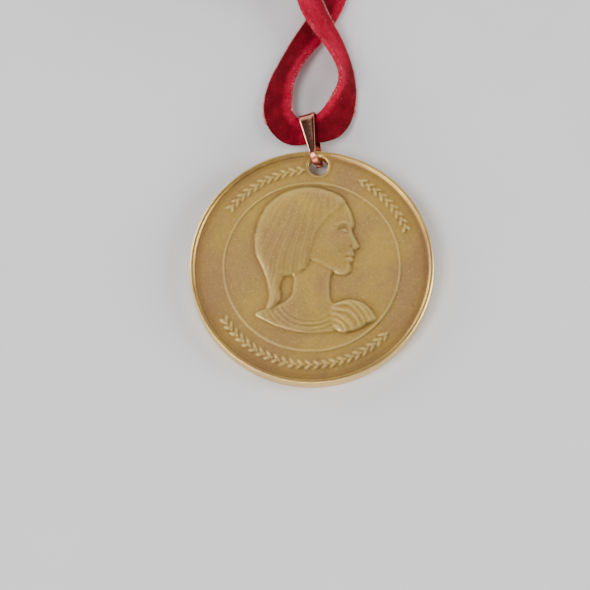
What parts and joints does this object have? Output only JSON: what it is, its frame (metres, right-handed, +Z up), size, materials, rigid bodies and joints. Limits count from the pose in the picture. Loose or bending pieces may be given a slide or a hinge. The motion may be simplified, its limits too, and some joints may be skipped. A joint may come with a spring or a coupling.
{
  "type": "medal",
  "caption": "Round struck medal with a raised portrait, hung by a folded pinch bail from a flat suede neck ribbon with a clasp and an extension chain.",
  "frame": {"origin": "on the resting surface, under the middle of the medal with its bail", "axes": "+Z up out of the obverse, +Y from the medal towards its ribbon, +X to the right of the obverse"},
  "size_m": [0.07, 0.1151, 0.0048],
  "materials": {
    "medal_brass": "matte, oxidised",
    "rose_gold": "polished copper-coloured plating",
    "suede": "napped",
    "fittings": "polished copper-coloured plating",
    "spring_steel": "satin"
  },
  "bodies": {
    "ribbon": {"ribbon_left": "suede", "ribbon_right": "suede", "ribbon_coil": "suede", "crimp_left": "fittings", "crimp_right": "fittings"},
    "bail": {"bail": "rose_gold"},
    "medal": {"medal_disc": "medal_brass"},
    "left_ring": {"loop_left": "fittings"},
    "link_1": {"chain_link_1": "fittings"},
    "link_2": {"chain_link_2": "fittings"},
    "link_3": {"chain_link_3": "fittings"},
    "link_4": {"chain_link_4": "fittings"},
    "link_5": {"chain_link_5": "fittings"},
    "drop": {"chain_drop": "fittings"},
    "right_ring": {"loop_right": "fittings"},
    "clasp": {"clasp_body": "fittings", "clasp_pin": "fittings", "clasp_spring": "spring_steel"},
    "clasp_lever": {"clasp_lever": "fittings"}
  },
  "joints": [
    {"name": "bail_swing", "type": "hinge", "parent": "ribbon", "child": "bail", "pos_m": [-0.0015, 0.0195, 0.00179], "axis": [-0.9285, -0.2662, -0.2588], "range_deg": [0, 4]},
    {"name": "medal_swing", "type": "hinge", "parent": "bail", "child": "medal", "pos_m": [0, 0.01298, 0.00237], "axis": [-0.9285, -0.2662, -0.2588], "range_deg": [0, 10]},
    {"name": "left_ring_swing", "type": "hinge", "parent": "ribbon", "child": "left_ring", "pos_m": [-0.036, 0.0699, 0.0015], "axis": [-0.8192, 0, 0.5736], "range_deg": [0, 20]},
    {"name": "link_1_swing", "type": "hinge", "parent": "left_ring", "child": "link_1", "pos_m": [-0.036, 0.06793, 0.0015], "axis": [-0.5736, 0, -0.8192], "range_deg": [0, 15]},
    {"name": "link_2_swing", "type": "hinge", "parent": "link_1", "child": "link_2", "pos_m": [-0.036, 0.06606, 0.0015], "axis": [-0.8192, 0, 0.5736], "range_deg": [0, 15]},
    {"name": "link_3_swing", "type": "hinge", "parent": "link_2", "child": "link_3", "pos_m": [-0.036, 0.06419, 0.0015], "axis": [-0.5736, 0, -0.8192], "range_deg": [0, 15]},
    {"name": "link_4_swing", "type": "hinge", "parent": "link_3", "child": "link_4", "pos_m": [-0.036, 0.06232, 0.0015], "axis": [-0.8192, 0, 0.5736], "range_deg": [0, 15]},
    {"name": "link_5_swing", "type": "hinge", "parent": "link_4", "child": "link_5", "pos_m": [-0.036, 0.06045, 0.0015], "axis": [-0.5736, 0, -0.8192], "range_deg": [0, 15]},
    {"name": "drop_swing", "type": "hinge", "parent": "link_5", "child": "drop", "pos_m": [-0.036, 0.05858, 0.0015], "axis": [-0.8192, 0, 0.5736], "range_deg": [0, 15]},
    {"name": "right_ring_swing", "type": "hinge", "parent": "ribbon", "child": "right_ring", "pos_m": [-0.016, 0.0649, 0.0015], "axis": [0.8192, 0, 0.5736], "range_deg": [0, 20]},
    {"name": "clasp_swing", "type": "hinge", "parent": "right_ring", "child": "clasp", "pos_m": [-0.016, 0.0649, 0.0015], "axis": [0.8192, 0, 0.5736], "range_deg": [0, 25]},
    {"name": "clasp_lever_press", "type": "hinge", "parent": "clasp", "child": "clasp_lever", "pos_m": [-0.01465, 0.0702, 0.0013], "axis": [0, 0, 1], "range_deg": [0, 20], "stiffness_Nm_per_rad": 0.0004, "springref_deg": -14.32}
  ]
}
